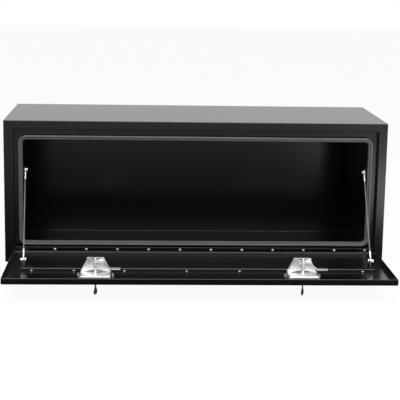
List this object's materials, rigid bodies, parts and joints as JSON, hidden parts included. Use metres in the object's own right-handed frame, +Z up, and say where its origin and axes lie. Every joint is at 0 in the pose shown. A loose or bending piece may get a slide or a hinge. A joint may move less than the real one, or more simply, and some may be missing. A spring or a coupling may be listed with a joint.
{
  "type": "truck tool box",
  "caption": "Long sheet-metal underbody truck tool box with a bottom-hinged drop door, door cables, bulb seal and T-handle cam latches with keys.",
  "frame": {"origin": "centre of the underside of the box, level with its base sheet", "axes": "+X along the box to the right of someone facing the door, +Y from the door to the back, +Z up"},
  "size_m": [1.219, 0.8577, 0.479],
  "materials": {
    "black_powder": "smooth black powder coat with a soft gloss",
    "bright_steel": "bright zinc-plated and brushed steel",
    "rubber": "dark grey sponge and channel rubber, matte",
    "zinc": "zinc-plated steel: rivets, bolts, hinge pin, wire rope and its ends",
    "nickel": "nickel plated brass"
  },
  "bodies": {
    "box": {"body_wrap": "black_powder", "left_end_panel": "black_powder", "right_end_panel": "black_powder", "front_frame": "black_powder", "top_seal_strip": "black_powder", "bottom_seal_strip": "black_powder", "left_seal_strip": "black_powder", "right_seal_strip": "black_powder", "door_seal": "rubber", "hinge_frame_leaf": "black_powder", "frame_leaf_rivets": "zinc", "hinge_pin": "zinc", "left_cable_tab": "black_powder", "right_cable_tab": "black_powder", "tab_bolts": "zinc", "tab_nuts": "zinc"},
    "left_handle": {"left_t_handle": "bright_steel", "left_spindle": "bright_steel", "left_spindle_clip": "bright_steel", "left_latch_cam": "bright_steel", "left_cam_nut": "bright_steel"},
    "left_lock": {"left_lock_plug": "nickel", "left_key": "nickel"},
    "right_handle": {"right_t_handle": "bright_steel", "right_spindle": "bright_steel", "right_spindle_clip": "bright_steel", "right_latch_cam": "bright_steel", "right_cam_nut": "bright_steel"},
    "right_lock": {"right_lock_plug": "nickel", "right_key": "nickel"},
    "door": {"bracket_bolts": "zinc", "bracket_nuts": "zinc", "door_inner_panel": "black_powder", "door_leaf_rivets": "zinc", "door_pan": "black_powder", "hinge_door_leaf": "black_powder", "inner_panel_rivets": "zinc", "latch_stud_nuts": "bright_steel", "left_cable": "zinc", "left_cable_bracket": "black_powder", "left_cable_ends": "zinc", "left_latch_dish": "bright_steel", "left_latch_gasket": "rubber", "left_latch_yoke": "bright_steel", "right_cable": "zinc", "right_cable_bracket": "black_powder", "right_cable_ends": "zinc", "right_latch_dish": "bright_steel", "right_latch_gasket": "rubber", "right_latch_yoke": "bright_steel"}
  },
  "joints": [
    {"name": "door_hinge", "type": "hinge", "parent": "box", "child": "door", "pos_m": [0, -0.2325, 0.02925], "axis": [-1, 0, 0], "range_deg": [0, 90], "deforming": ["left_cable", "right_cable", "left_cable_ends", "right_cable_ends"]},
    {"name": "left_handle_turn", "type": "hinge", "parent": "door", "child": "left_handle", "pos_m": [-0.309, -0.53425, 0.03525], "axis": [0, 0, -1], "range_deg": [0, 90]},
    {"name": "left_key_turn", "type": "hinge", "parent": "left_handle", "child": "left_lock", "pos_m": [-0.309, -0.53425, 0.02], "axis": [0, 0, -1], "range_deg": [0, 90]},
    {"name": "right_handle_turn", "type": "hinge", "parent": "door", "child": "right_handle", "pos_m": [0.309, -0.53425, 0.03525], "axis": [0, 0, -1], "range_deg": [0, 90]},
    {"name": "right_key_turn", "type": "hinge", "parent": "right_handle", "child": "right_lock", "pos_m": [0.309, -0.53425, 0.02], "axis": [0, 0, -1], "range_deg": [0, 90]}
  ]
}
